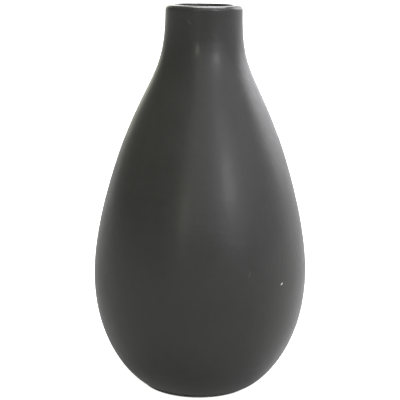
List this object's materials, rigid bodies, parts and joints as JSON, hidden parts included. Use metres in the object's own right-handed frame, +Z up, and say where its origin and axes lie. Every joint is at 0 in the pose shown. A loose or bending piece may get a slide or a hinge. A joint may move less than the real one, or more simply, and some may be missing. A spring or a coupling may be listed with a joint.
{
  "type": "bottle vase",
  "caption": "Teardrop stoneware bottle vase with a short neck and rounded lip, matte charcoal outside, dark glossy inside and a flat foot ring.",
  "frame": {"origin": "on the vase's axis, at the surface it stands on (the bottom of the felt dots)", "axes": "+Z up along the turned axis, from the foot to the mouth; +X and +Y run between the felt dots"},
  "size_m": [0.1854, 0.1854, 0.33],
  "materials": {
    "bare_stoneware": "dry, unglazed, fine sandy grain",
    "charcoal_glaze": "satin-matte charcoal grey, faintly mottled",
    "liner_glaze": "glossy near-black",
    "felt": "dense pressed felt"
  },
  "bodies": {
    "root": {"stoneware_body": "bare_stoneware", "outer_glaze": "charcoal_glaze", "inner_glaze": "liner_glaze", "felt_pad_1": "felt", "felt_pad_2": "felt", "felt_pad_3": "felt", "felt_pad_4": "felt"}
  },
  "joints": []
}
